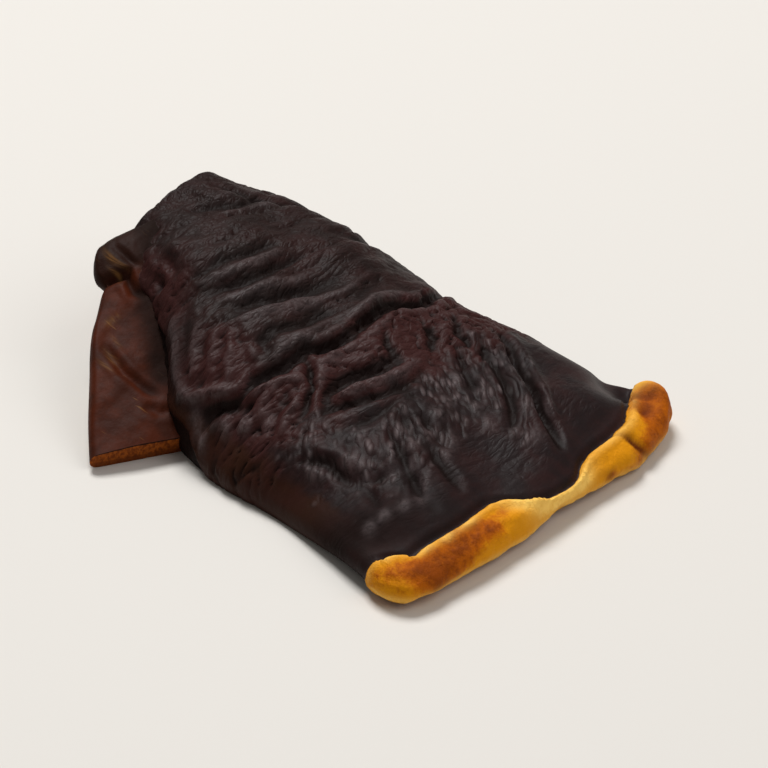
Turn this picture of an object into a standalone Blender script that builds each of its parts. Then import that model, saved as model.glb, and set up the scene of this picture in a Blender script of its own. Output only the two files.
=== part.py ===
"""Dried reishi mushroom: an arched, wrinkled cap with a rolled growing lip, a side lobe folded down
at its left and a flat cut at its back. One grown body, modelled as one solid.

Lengths are in millimetres in the drawing frame below and are scaled to metres at the end.
Drawing frame: X runs along the growing lip, Y from the lip to the cut back end, Z up from the
surface that the mushroom rests on.
"""

import math

import bmesh
import bpy
import numpy as np

MM = 0.001

# Centre of the outline in the drawing frame, which becomes the origin
ORIGIN_X, ORIGIN_Y = 31.12, 31.10

# Sections of the cap from the cut back end (growth 0) to the growing lip (growth 1)
GROWTH = [0.00, 0.20, 0.40, 0.60, 0.80, 0.92, 0.96, 0.985, 1.00]
LEFT_X = [29.0, 20.5, 12.2, 9.0, 4.4, 0.4, -1.6, -1.8, 0.6]
LEFT_Y = [70.0, 55.0, 41.0, 26.0, 10.0, 0.8, -3.2, -6.2, -8.7]
LEFT_FOOT_Z = [0.5, 0.0, -1.0, -1.0, 0.3, 1.8, 2.4, 2.6, 2.6]
RIGHT_X = [54.0, 57.0, 59.5, 59.5, 61.0, 63.4, 64.3, 63.4, 60.5]
RIGHT_Y = [70.0, 57.0, 43.0, 28.0, 13.0, 4.8, 0.6, -3.4, -6.6]
RIGHT_FOOT_Z = [3.0, 1.5, 0.0, 0.0, 1.0, 2.0, 2.6, 2.6, 2.4]
CREST_Z = [17.0, 17.0, 13.9, 10.2, 7.0, 4.5, 3.4, 2.7, 2.5]
MARGIN_SWEEP = [0.0, -1.0, -2.5, -4.0, -5.3, -5.8, -5.0, -3.6, -2.0]
LEFT_ROLL_DEG = [82, 82, 82, 80, 72, 55, 40, 25, 10]
RIGHT_ROLL_DEG = [76, 76, 74, 70, 60, 35, 25, 15, 10]
HALF_THICKNESS = [3.6, 3.6, 3.4, 3.1, 2.8, 2.6, 2.5, 2.5, 2.4]
ROLL_POWER = 2.6

# The growing lip, across the cap from left (-1) to right (1)
LIP_ACROSS = [-1.00, -0.80, -0.40, 0.00, 0.20, 0.60, 0.85, 1.00]
LIP_RADIUS = [2.6, 3.0, 2.9, 2.2, 2.1, 2.9, 2.7, 2.1]
LIP_NECK = 0.06
CAP_LENGTH = 76.0
SIDE_NOSE = 0.10

# The side lobe: corners of its middle surface, and its form
LOBE_FRONT_OUTER = np.array([0.6, 49.0, 1.5])
LOBE_FRONT_INNER = np.array([17.0, 39.7, 1.5])
LOBE_TOP_INNER = np.array([38.0, 68.0, 19.2])
LOBE_TOP_OUTER = np.array([26.7, 72.0, 15.8])
LOBE_OUTWARD = np.array([-0.92, 0.38, 0.0])
LOBE_HALF_THICKNESS = 1.7
LOBE_NOTCH = 1.1
LOBE_SWELL = 1.3
LOBE_NOSE = 0.14
LOBE_RIDGE = (-0.75, 0.42, 0.85, 0.14)

# Furrows of the top, laid flat: across runs from -30 to 30 and along from 0 to 76 (the lip).
# Each has its start across and along, end across and along, bow to one side, depth and half width.
FURROWS = [
    (-13.5, 13.5, 6.0, 20.5, 1.2, 0.7, 1.2),
    (-14.0, 19.5, 9.0, 22.8, 0.8, 0.8, 1.1),
    (-18.0, 21.0, 3.0, 27.2, 0.8, 0.6, 1.1),
    (-19.0, 24.0, 12.0, 28.4, 1.0, 0.8, 1.2),
    (-13.0, 31.2, 15.0, 33.8, 0.4, 1.0, 1.2),
    (-18.5, 34.7, 23.5, 37.9, 1.4, 1.4, 1.5),
    (-23.5, 31.9, -9.0, 40.0, 0.6, 0.8, 1.1),
    (-14.5, 44.3, 3.0, 46.2, -0.5, 1.3, 1.6),
    (-18.5, 47.6, 4.0, 50.6, 0.6, 1.0, 1.7),
    (26.0, 50.0, 7.5, 68.5, 0.8, 0.8, 1.7),
    (16.5, 51.5, 5.0, 63.0, 0.5, 0.4, 1.5),
    (-15.5, 8.5, -17.0, 14.5, 0.0, 1.2, 1.6),
    (-17.5, 13.0, -24.0, 35.0, 1.0, 0.7, 1.6),
    (-21.0, 16.0, -27.0, 38.0, 0.6, 0.6, 1.6),
    (8.0, 5.0, 20.0, 16.0, 1.0, 0.7, 1.4),
    (-4.0, 6.0, 14.0, 11.0, 0.8, 0.6, 1.2),
    (14.0, 24.0, 27.0, 27.0, 0.5, 0.6, 1.2),
]
LUMPS = [
    (0.35, 0.21, 0.17, 0.6),
    (0.30, -0.16, 0.31, 2.1),
    (0.22, 0.37, 0.23, 4.0),
    (0.18, 0.52, -0.40, 1.3),
]

# The crease between the skin of the top and the growing lip: places along, for places across
CREASE_ACROSS = [-1.0, -0.8, -0.6, -0.3, -0.1, 0.1, 0.3, 0.5, 0.7, 1.0]
CREASE_ALONG = [70.0, 71.4, 71.2, 70.4, 74.0, 74.2, 73.0, 72.8, 72.5, 70.5]
CREASE_DEPTH, CREASE_WIDTH = 0.6, 1.2

# Faces along each side of the blocks that the forms are bent from
CAP_COLUMNS, CAP_ROWS, CAP_LAYERS = 56, 96, 6
LOBE_COLUMNS, LOBE_ROWS, LOBE_LAYERS = 16, 28, 4

# Share of the joined form's faces that stay once its smooth places are thinned out
FACES_KEPT = 0.33


def track(t, knots, values):
    """A smooth curve through the values at the knots, by cubic Hermite pieces."""
    knots, values = np.asarray(knots, float), np.asarray(values, float)
    t = np.clip(t, knots[0], knots[-1])
    steps = np.diff(values) / np.diff(knots)
    slopes = np.concatenate([steps[:1], (steps[1:] + steps[:-1]) / 2, steps[-1:]])
    i = np.clip(np.searchsorted(knots, t, side="right") - 1, 0, len(knots) - 2)
    span = np.diff(knots)[i]
    q = (t - knots[i]) / span
    rise = values[i + 1] - values[i]
    start = slopes[i] * span
    end = slopes[i + 1] * span
    return values[i] + q * (start + q * (3 * rise - 2 * start - end + q * (start + end - 2 * rise)))


def bend(across, roll):
    """A section's x and z, one side of its crest, from its tangent angle roll * |across|^power."""
    steps = (np.arange(16) + 0.5) / 16
    angle = roll[..., None] * (np.abs(across)[..., None] * steps) ** ROLL_POWER
    return across * np.cos(angle).mean(-1), -np.abs(across) * np.sin(angle).mean(-1)


def cap_middle(across, growth):
    """Points of the cap's middle surface: an arch across, from the back cut to the growing lip."""
    left_roll = np.radians(track(growth, GROWTH, LEFT_ROLL_DEG))
    right_roll = np.radians(track(growth, GROWTH, RIGHT_ROLL_DEG))
    x, z = bend(across, np.where(across < 0, left_roll, right_roll))
    left_x, left_z = bend(-np.ones_like(across), left_roll)
    right_x, right_z = bend(np.ones_like(across), right_roll)
    k = (x - left_x) / (right_x - left_x)
    k_crest = -left_x / (right_x - left_x)
    arch = (z - left_z - (right_z - left_z) * k) / -(left_z + (right_z - left_z) * k_crest)
    left_foot = track(growth, GROWTH, LEFT_FOOT_Z)
    right_foot = track(growth, GROWTH, RIGHT_FOOT_Z)
    left_edge_x, left_edge_y = track(growth, GROWTH, LEFT_X), track(growth, GROWTH, LEFT_Y)
    right_edge_x, right_edge_y = track(growth, GROWTH, RIGHT_X), track(growth, GROWTH, RIGHT_Y)
    sweep = track(growth, GROWTH, MARGIN_SWEEP) * 4 * k * (1 - k)
    crest = track(growth, GROWTH, CREST_Z) - (left_foot + right_foot) / 2
    return np.stack(
        [
            left_edge_x + (right_edge_x - left_edge_x) * k,
            left_edge_y + (right_edge_y - left_edge_y) * k + sweep,
            left_foot + (right_foot - left_foot) * k + crest * arch,
        ],
        axis=-1,
    )


def normals_of(surface, p, q, step=0.01):
    """Unit normals of surface(p, q) by differences, pointing up on a level sheet."""
    along_p = surface(p + step, q) - surface(p - step, q)
    along_q = surface(p, q + step) - surface(p, q - step)
    normal = np.cross(along_q, along_p)
    return normal / np.linalg.norm(normal, axis=-1, keepdims=True)


def cap_half_thickness(across, growth):
    """Half the cap's thickness: a neck behind the growing lip, and the lip's own radius at it."""
    body = track(growth, GROWTH, HALF_THICKNESS)
    lip = track(across, LIP_ACROSS, LIP_RADIUS)
    at_lip = np.clip((growth - (1 - LIP_NECK)) / LIP_NECK, 0, 1)
    at_lip = at_lip * at_lip * (3 - 2 * at_lip)
    return body + (lip - body) * at_lip


def lip_nose(across):
    """The share of the cap's length that the rounding of its growing lip takes."""
    return track(across, LIP_ACROSS, LIP_RADIUS) / CAP_LENGTH


def furrow(across_mm, along_mm, start_across, start_along, end_across, end_along, bow, depth, width):
    """Depth of one furrow at each place: a bowed line, rounded in section and fading at both ends."""
    run_x, run_y = end_across - start_across, end_along - start_along
    length = math.hypot(run_x, run_y)
    from_x, from_y = across_mm - start_across, along_mm - start_along
    part = (from_x * run_x + from_y * run_y) / length**2
    side = (from_y * run_x - from_x * run_y) / length
    inside = np.clip(part, 0.0, 1.0)
    away = np.hypot(side - bow * np.sin(math.pi * inside), (part - inside) * length)
    fade = 0.35 + 0.65 * np.sin(math.pi * inside) ** 0.6
    return depth * fade * np.exp(-((away / width) ** 2))


def cap_relief(across, growth):
    """Height of the top's lumps and furrows over the plain arch, fading out at the lip's rim."""
    across_mm, along_mm = across * 30.0, growth * CAP_LENGTH
    relief = np.zeros_like(across)
    for height, per_across, per_along, phase in LUMPS:
        relief += height * np.sin(per_across * across_mm + per_along * along_mm + phase)
    for line in FURROWS:
        relief -= furrow(across_mm, along_mm, *line)
    from_crease = along_mm - track(across, CREASE_ACROSS, CREASE_ALONG)
    crease = CREASE_DEPTH * np.exp(-((from_crease / CREASE_WIDTH) ** 2))
    return relief * np.clip((CAP_LENGTH - along_mm) / 6.0, 0.0, 1.0) - crease


def block(columns, rows, layers):
    """A cube from -1 to 1 cut into a grid of faces, as an array of its points and its bmesh."""
    bm = bmesh.new()
    bmesh.ops.create_cube(bm, size=2.0)
    for axis, pieces in enumerate((columns, rows, layers)):
        edges = [e for e in bm.edges if abs(e.verts[0].co[axis] - e.verts[1].co[axis]) > 0.001]
        bmesh.ops.subdivide_edges(bm, edges=edges, cuts=pieces - 1, use_grid_fill=True)
    return bm, np.array([v.co for v in bm.verts])


def finish_form(bm, points, name, collection):
    """Moves the block's points to their places, as an object in the drawing frame's scale."""
    points = (points - [ORIGIN_X, ORIGIN_Y, 0.0]) * MM
    for vert, point in zip(bm.verts, points):
        vert.co = point
    mesh = bpy.data.meshes.new(name)
    if bm.calc_volume(signed=True) < 0:
        bmesh.ops.reverse_faces(bm, faces=bm.faces)
    bm.to_mesh(mesh)
    bm.free()
    form = bpy.data.objects.new(name, mesh)
    collection.objects.link(form)
    return form


def rounded(block_points, side_nose, end_nose):
    """Places on a middle surface for a block's points, with round sides and a round front end.

    Gives the place across (-1 to 1) and along (0 to 1), and the level through the thickness.
    The noses are the shares of the two lengths that the roundings take.
    """
    a, b, c = block_points.T
    turn = c * math.pi / 2
    inward = 1 - np.cos(turn)
    across = a * (1 - side_nose * inward)
    along = (b + 1) / 2 * (1 - end_nose(across) * inward)
    return across, along, np.sin(turn)


def make_cap(collection):
    """The cap: a block bent to the arch, round along its sides and lip and flat at the back cut."""
    bm, block_points = block(CAP_COLUMNS, CAP_ROWS, CAP_LAYERS)
    across, growth, level = rounded(block_points, SIDE_NOSE, lip_nose)
    half = cap_half_thickness(across, growth)
    normal = normals_of(cap_middle, across, growth)
    height = half * level + cap_relief(across, growth) * np.clip(level, 0.0, 1.0)
    points = cap_middle(across, growth) + normal * height[:, None]
    return finish_form(bm, points, "mushroom", collection)


def lobe_middle(across, up):
    """Points of the side lobe's middle surface, a leaf that leans back from its cut front edge."""
    k, h = (across[..., None] + 1) / 2, up[..., None]
    front = LOBE_FRONT_OUTER + (LOBE_FRONT_INNER - LOBE_FRONT_OUTER) * k
    top = LOBE_TOP_OUTER + (LOBE_TOP_INNER - LOBE_TOP_OUTER) * k
    border = LOBE_SWELL * np.sin(math.pi * h) - LOBE_NOTCH * np.exp(-(((h - 0.74) / 0.05) ** 2))
    return front + (top - front) * h + LOBE_OUTWARD * (border * (1 - k))


def lobe_relief(across, up):
    """Height of the lobe's faint slanting ridge and its lumps."""
    start_across, start_up, end_across, end_up = LOBE_RIDGE
    slope = (end_up - start_up) / (end_across - start_across)
    from_ridge = (up - start_up - slope * (across - start_across)) / 0.07
    ridge = 0.45 * np.exp(-(from_ridge**2)) - 0.25 * np.exp(-((from_ridge + 2.0) ** 2))
    return ridge + 0.2 * np.sin(2.6 * across + 9.0 * up) + 0.15 * np.sin(17.0 * up - 4.0 * across)


def lobe_nose(across):
    """The share of the lobe's length that the rounding of its top end takes."""
    return np.full_like(across, LOBE_NOSE / 2)


def make_lobe(collection):
    """The side lobe: a thin block, flat at its cut front end and round along its other sides."""
    bm, block_points = block(LOBE_COLUMNS, LOBE_ROWS, LOBE_LAYERS)
    across, up, level = rounded(block_points, LOBE_NOSE, lobe_nose)
    normal = normals_of(lobe_middle, across, up)
    half = LOBE_HALF_THICKNESS * (1.15 - 0.3 * across**2)
    height = half * level + lobe_relief(across, up) * np.clip(level, 0.0, 1.0)
    points = lobe_middle(across, up) + normal * height[:, None]
    return finish_form(bm, points, "side_lobe_form", collection)


def make_below_rest(collection):
    """A slab whose top is the surface that the mushroom rests on."""
    slab = bmesh.new()
    bmesh.ops.create_cube(slab, size=0.2)
    bmesh.ops.translate(slab, verts=slab.verts, vec=(0.0, 0.0, -0.1))
    mesh = bpy.data.meshes.new("below_rest")
    slab.to_mesh(mesh)
    slab.free()
    form = bpy.data.objects.new("below_rest", mesh)
    collection.objects.link(form)
    return form


def join_or_cut(target, operation, form):
    """Adds a Boolean step of the target with a hidden form."""
    form.hide_render = True
    form.display_type = "WIRE"
    step = target.modifiers.new(form.name, "BOOLEAN")
    step.operation = operation
    step.object = form


def dried_skin():
    """The dark, leathery skin of the cap."""
    material = bpy.data.materials.new("dried_skin")
    material.use_nodes = True
    shader = material.node_tree.nodes["Principled BSDF"]
    shader.inputs["Base Color"].default_value = (0.035, 0.018, 0.017, 1.0)
    shader.inputs["Roughness"].default_value = 0.55
    shader.inputs["Metallic"].default_value = 0.0
    return material


def main():
    """Builds the mushroom in a fresh scene."""
    for old in list(bpy.data.objects):
        bpy.data.objects.remove(old)
    parts = bpy.data.collections.new("dried_reishi_mushroom")
    forms = bpy.data.collections.new("joined_and_cut_forms")
    for collection in (parts, forms):
        bpy.context.scene.collection.children.link(collection)
    mushroom = make_cap(parts)
    join_or_cut(mushroom, "UNION", make_lobe(forms))
    fewer = mushroom.modifiers.new("fewer_faces", "DECIMATE")
    fewer.ratio = FACES_KEPT
    join_or_cut(mushroom, "DIFFERENCE", make_below_rest(forms))
    mushroom.data.materials.append(dried_skin())


main()
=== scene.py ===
"""Looks of a dried reishi mushroom that lies on its underside.

The cap and its side lobe are worked out as numpy surfaces in the solid model's drawing frame, in
millimetres: X runs along the growing lip, Y from the lip to the cut back end, Z up from the rest.
They are joined into one skin in metres, which stands in for the solid, and one material dresses it
from the finishes of its crust, lip, lobe, pores and cuts.
"""

from __future__ import annotations

import logging
import math
from collections.abc import Callable
from dataclasses import dataclass, field
from enum import Enum

import bpy
import numpy as np
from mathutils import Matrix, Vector


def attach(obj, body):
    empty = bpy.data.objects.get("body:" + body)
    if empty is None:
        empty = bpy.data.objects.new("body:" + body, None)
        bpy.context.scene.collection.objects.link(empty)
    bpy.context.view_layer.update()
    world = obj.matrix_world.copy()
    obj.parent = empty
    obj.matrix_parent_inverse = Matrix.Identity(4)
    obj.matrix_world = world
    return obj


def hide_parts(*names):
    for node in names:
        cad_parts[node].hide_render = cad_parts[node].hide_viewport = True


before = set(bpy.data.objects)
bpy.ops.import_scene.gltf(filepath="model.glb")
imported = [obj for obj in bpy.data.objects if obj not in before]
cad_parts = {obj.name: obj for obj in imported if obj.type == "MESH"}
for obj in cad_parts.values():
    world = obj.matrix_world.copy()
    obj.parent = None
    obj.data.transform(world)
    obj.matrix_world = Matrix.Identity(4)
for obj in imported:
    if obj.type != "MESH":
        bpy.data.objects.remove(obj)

log = logging.getLogger("mushroom")

# Metres in a millimetre, and the part's origin in the drawing frame
MM = 0.001
ORIGIN = np.array([31.12, 31.10, 0.0])
# The cap laid flat, in millimetres, and the places of its knots along the growth
CAP_LENGTH = 76.0
HALF_WIDTH = 30.0
GROWTH = (0.00, 0.20, 0.40, 0.60, 0.80, 0.92, 0.96, 0.985, 1.00)
# Levels through the thickness between which the outer skin gives way to the underside
PORES_FROM = 0.72
PORES_TO = 0.86

Colour = tuple[float, float, float, float]
Array = np.ndarray


def tint(red: float, green: float, blue: float) -> Colour:
    """A colour in the shader's linear values, by the sRGB curve.

    Args:
        red: Its red as a display value, from 0 to 255.
        green: Its green.
        blue: Its blue.

    Returns:
        The colour with full alpha.
    """
    shares = np.array([red, green, blue]) / 255.0
    linear = np.where(shares <= 0.04045, shares / 12.92, ((shares + 0.055) / 1.055) ** 2.4)
    return (*linear.tolist(), 1.0)


def smooth(value: Array, low: float, high: float) -> Array:
    """An S-curve that is 0 below low and 1 above high."""
    t = np.clip((value - low) / (high - low), 0.0, 1.0)
    return t * t * (3.0 - 2.0 * t)


def bell(value: Array, middle: float, half: float) -> Array:
    """1 at the middle and falling off on both sides, as exp(-((value - middle) / half) ** 2)."""
    return np.exp(-(((value - middle) / half) ** 2))


def noise(x: Array, y: Array, seed: float) -> Array:
    """Gradient noise from about -1 to 1.

    Each corner of the unit cell has a slope in its own direction, taken from the fraction of a
    large sine, and the four slopes are blended by quintic S-curves.

    Args:
        x: First coordinate, in cells.
        y: Second coordinate, in cells.
        seed: Picks one of many unlike patterns.

    Returns:
        The noise at each place.
    """
    cell_x, cell_y = np.floor(x), np.floor(y)
    total = np.zeros_like(x)
    for step_x in (0.0, 1.0):
        for step_y in (0.0, 1.0):
            corner_x, corner_y = cell_x + step_x, cell_y + step_y
            turn = 2.0 * math.pi * 437.585453 * np.sin(corner_x * 12.71 + corner_y * 31.17 + seed * 7.47)
            near_x, near_y = x - corner_x, y - corner_y
            s, t = 1.0 - np.abs(near_x), 1.0 - np.abs(near_y)
            share = s**3 * (s * (6.0 * s - 15.0) + 10.0) * t**3 * (t * (6.0 * t - 15.0) + 10.0)
            total += share * (np.cos(turn) * near_x + np.sin(turn) * near_y)
    return total * 1.6


def layered(x: Array, y: Array, seed: float, layers: int = 3) -> Array:
    """Noise added at 1, 2, 4... times its fineness with 1, 1/2, 1/4... of its strength."""
    return sum(noise(x * 2**n, y * 2**n, seed + 17.0 * n) / 2**n for n in range(layers))


def valleys(height: Array, width: float) -> Array:
    """1 along the lines where the height is 0, falling off within the width on both sides."""
    return np.exp(-((np.abs(height) / width) ** 1.4))


@dataclass(frozen=True)
class Track:
    """A value that changes smoothly through knots, by cubic Hermite pieces."""

    knots: tuple[float, ...]
    values: tuple[float, ...]

    def __call__(self, t: Array) -> Array:
        """The value at each place, held at the end knots' values beyond them.

        Args:
            t: Places on the track.

        Returns:
            The values.
        """
        knots, values = np.asarray(self.knots, float), np.asarray(self.values, float)
        t = np.clip(t, knots[0], knots[-1])
        steps = np.diff(values) / np.diff(knots)
        slopes = np.concatenate([steps[:1], (steps[1:] + steps[:-1]) / 2, steps[-1:]])
        i = np.clip(np.searchsorted(knots, t, side="right") - 1, 0, len(knots) - 2)
        span = np.diff(knots)[i]
        q = (t - knots[i]) / span
        rise = values[i + 1] - values[i]
        start, end = slopes[i] * span, slopes[i + 1] * span
        return values[i] + q * (start + q * (3 * rise - 2 * start - end + q * (start + end - 2 * rise)))


def over_growth(*values: float) -> Track:
    """A track over the cap's growth, from the cut back end (0) to the growing lip (1)."""
    return Track(GROWTH, values)


@dataclass(frozen=True)
class Furrow:
    """One furrow of the skin laid flat: its depth, its half width and the places on its line."""

    depth: float
    width: float
    path: tuple[tuple[float, float], ...]

    def height(self, across: Array, along: Array) -> Array:
        """The furrow's height at each place: a round groove with soft shoulders, fading at both ends.

        The distance to the line is the least of the distances to its straight parts.

        Args:
            across: Places across the skin, in millimetres.
            along: Places along the skin, in millimetres.

        Returns:
            Heights in millimetres, below zero in the groove.
        """
        points = np.array(self.path)
        lengths = np.hypot(*np.diff(points, axis=0).T)
        away, place = np.full_like(across, 1e9), np.zeros_like(across)
        before = 0.0
        for (x, y), (next_x, next_y), length in zip(points[:-1], points[1:], lengths):
            run_x, run_y = (next_x - x) / length, (next_y - y) / length
            part = np.clip((across - x) * run_x + (along - y) * run_y, 0.0, length)
            distance = np.hypot(across - x - part * run_x, along - y - part * run_y)
            nearer = distance < away
            away = np.where(nearer, distance, away)
            place = np.where(nearer, before + part, place)
            before += length
        fade = np.sin(math.pi * np.clip(place / before, 0.0, 1.0)) ** 0.5
        groove = bell(away, 0.0, self.width) - 0.3 * bell(away, 2.1 * self.width, self.width)
        return -self.depth * fade * groove


@dataclass(frozen=True)
class Lump:
    """One soft lump, or a dent where its rise is below zero, or a patch of a finish."""

    across: float
    along: float
    half_across: float
    half_along: float
    rise: float
    tilt: float = 0.0

    def height(self, across: Array, along: Array) -> Array:
        """The rise at the lump's middle, falling off as a bell on turned axes.

        Args:
            across: Places across the skin, in millimetres.
            along: Places along the skin, in millimetres.

        Returns:
            The height at each place.
        """
        from_x, from_y = across - self.across, along - self.along
        c, s = math.cos(self.tilt), math.sin(self.tilt)
        long_part = (from_x * c + from_y * s) / self.half_across
        return self.rise * np.exp(-(long_part**2) - ((from_y * c - from_x * s) / self.half_along) ** 2)


@dataclass(frozen=True)
class Folds:
    """A train of folds: their spacing in millimetres, how many turns noise shifts them by, and the
    patches of noise where they stand."""

    spacing: float
    shift: float
    shift_cells: tuple[float, float]
    seed: float
    patch_cells: tuple[float, float] = (1.0, 1.0)
    patch_seed: float = 0.0
    patches: tuple[float, float] = (-9.0, -8.0)

    def height(self, run: Array, x: Array, y: Array) -> Array:
        """Round ridges with sharp valleys between: |sin| to a power, less its mean.

        Args:
            run: Places across the folds, in millimetres.
            x: Places for the noise, in millimetres.
            y: The same, the other way.

        Returns:
            Heights from about -0.7 to 0.3.
        """
        cells_x, cells_y = self.shift_cells
        turns = run / self.spacing + self.shift * noise(x / cells_x, y / cells_y, self.seed)
        cells_x, cells_y = self.patch_cells
        stand = smooth(noise(x / cells_x, y / cells_y, self.patch_seed), *self.patches)
        return (np.abs(np.sin(math.pi * turns)) ** 0.75 - 0.68) * stand


def lumps_from(*rows: tuple[float, ...]) -> tuple[Lump, ...]:
    """Lumps from rows that give their sizes in the order of the fields."""
    return tuple(Lump(*row) for row in rows)


def furrows_from(*rows: tuple) -> tuple[Furrow, ...]:
    """Furrows from rows that give the depth, the half width and the places on the line."""
    return tuple(Furrow(depth, width, tuple(path)) for depth, width, *path in rows)


def added(parts: tuple[Lump | Furrow, ...], across: Array, along: Array) -> Array:
    """The heights of all the parts at each place, added up."""
    return sum(one.height(across, along) for one in parts)


class Zone(Enum):
    """The channels of the mesh's corner values that the finishes read."""

    LIP = ("zones", 0)
    UNDERSIDE = ("zones", 1)
    CUT = ("zones", 2)
    LOBE = ("zones", 3)
    # Small relief, lowered where a band of shadow is painted; the finishes paint shade where it is low
    HEIGHT = ("forms", 0)
    FRONT = ("forms", 1)
    MIDDLE = ("forms", 2)
    LEVEL = ("forms", 3)
    SMOOTH = ("tones", 0)
    WALL = ("tones", 1)
    # Pale marks and painted highlights: dust and painted sheen on the crust's ridges, cream and painted
    # highlights on the lip, and the lobe's ochre scratches
    BLOOM = ("tones", 2)
    STAIN = ("tones", 3)
    STREAKS = ("marks", 0)
    BURNT = ("marks", 1)
    # Patches of painted shade on the crust
    SHADE = ("marks", 2)


@dataclass
class Form:
    """A closed skin of quads, with flat places and values at its points for the finishes."""

    points: Array
    quads: Array
    flat: Array
    values: dict[Zone, Array] = field(default_factory=dict)
    cut: Array | None = None

    def normals(self) -> Array:
        """Unit normals at the points: the cross products of the quads' diagonals, added up.

        Returns:
            A normal for each point.
        """
        a, b, c, d = (self.points[self.quads[:, n]] for n in range(4))
        faces = np.cross(c - a, d - b)
        total = np.zeros_like(self.points)
        for n in range(4):
            np.add.at(total, self.quads[:, n], faces)
        return total / np.maximum(np.linalg.norm(total, axis=1, keepdims=True), 1e-12)

    def make(self, name: str) -> bpy.types.Object:
        """Puts the skin into a mesh in metres, with its values on the face corners.

        Args:
            name: The object's name.

        Returns:
            The new object, in the scene.
        """
        mesh = bpy.data.meshes.new(name)
        mesh.from_pydata(((self.points - ORIGIN) * MM).tolist(), [], self.quads.tolist())
        corners = self.quads.ravel()
        mesh.uv_layers.new(name="flat").data.foreach_set("uv", self.flat[corners].ravel())
        for layer in sorted({zone.value[0] for zone in Zone}):
            table = np.zeros((len(corners), 4))
            for zone, value in self.values.items():
                if zone.value[0] == layer:
                    table[:, zone.value[1]] = value[corners]
            if self.cut is not None and layer == Zone.CUT.value[0]:
                table[:, Zone.CUT.value[1]] = np.repeat(self.cut, 4)
            attribute = mesh.attributes.new(layer, "FLOAT_COLOR", "CORNER")
            attribute.data.foreach_set("color", table.ravel())
        made = bpy.data.objects.new(name, mesh)
        bpy.context.scene.collection.objects.link(made)
        return made


def block_skin(columns: int, rows: int, layers: int) -> tuple[Array, Array, Array]:
    """The skin of a cube from -1 to 1, as six grids joined at their edges.

    The forms' maps turn the cube inside out, so its quads are listed facing inwards here.

    Args:
        columns: Faces along the first axis.
        rows: Faces along the second axis.
        layers: Faces along the third axis.

    Returns:
        The points, the quads, and for each quad whether it is on the second axis's low side.
    """
    counts = np.array([columns, rows, layers])
    places, quads, back = [], [], []
    first = 0
    for axis in range(3):
        u, v = (axis + 1) % 3, (axis + 2) % 3
        for side in (0, 1):
            grid = np.zeros((counts[u] + 1, counts[v] + 1, 3), int)
            grid[..., axis] = side * counts[axis]
            grid[..., u], grid[..., v] = np.indices(grid.shape[:2])
            index = first + np.arange(grid[..., 0].size).reshape(grid.shape[:2])
            ring = [index[:-1, :-1], index[:-1, 1:], index[1:, 1:], index[1:, :-1]]
            faces = np.stack(ring, axis=-1).reshape(-1, 4)
            quads.append(faces if side else faces[:, ::-1])
            back.append(np.full(len(faces), axis == 1 and side == 0))
            places.append(grid.reshape(-1, 3))
            first += grid[..., 0].size
    lattice, joined = np.unique(np.concatenate(places), axis=0, return_inverse=True)
    return lattice / counts * 2.0 - 1.0, joined.ravel()[np.concatenate(quads)], np.concatenate(back)


def normals_of(surface: Callable, p: Array, q: Array, step: float = 0.01) -> Array:
    """Unit normals of surface(p, q) by differences, pointing up on a level sheet.

    Args:
        surface: Gives points for two arrays of places.
        p: Places the first way.
        q: Places the second way.
        step: Half the distance over which the differences are taken.

    Returns:
        A normal for each place.
    """
    along_p = surface(p + step, q) - surface(p - step, q)
    along_q = surface(p, q + step) - surface(p, q - step)
    normal = np.cross(along_q, along_p)
    return normal / np.linalg.norm(normal, axis=-1, keepdims=True)


def rounded(block: Array, side_nose: float, end_nose: Callable) -> tuple[Array, ...]:
    """Places on a middle surface for a block's points, round at the sides and the front end.

    Args:
        block: Points of the cube's skin.
        side_nose: The share of the half width that the roundings of the sides take.
        end_nose: Gives, for places across, the share of the length that the end's rounding takes.

    Returns:
        The place across (-1 to 1), the place along (0 to 1) and the level through the thickness.
    """
    a, b, c = block.T
    turn = c * math.pi / 2
    inward = 1 - np.cos(turn)
    across = a * (1 - side_nose * inward)
    return across, (b + 1) / 2 * (1 - end_nose(across) * inward), np.sin(turn)


def relaxed(points: Array, quads: Array, share: Array, rounds: int) -> Array:
    """Moves points towards the mean of their neighbours, again and again, to round off corners.

    Args:
        points: The skin's points.
        quads: The skin's quads.
        share: How far each point follows its neighbours, from 0 to 1.
        rounds: How often this is done.

    Returns:
        The moved points.
    """
    moving = np.flatnonzero(share[quads].max(axis=1) > 0)
    ends = np.concatenate([quads[moving][:, [n, (n + 1) % 4]] for n in range(4)])
    count = np.bincount(ends.ravel(), minlength=len(points))
    for _ in range(rounds):
        total = np.zeros_like(points)
        np.add.at(total, ends[:, 0], points[ends[:, 1]])
        np.add.at(total, ends[:, 1], points[ends[:, 0]])
        mean = total / np.maximum(count, 1)[:, None]
        points = points + (mean - points) * (0.6 * share * (count > 0))[:, None]
    return points


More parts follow.
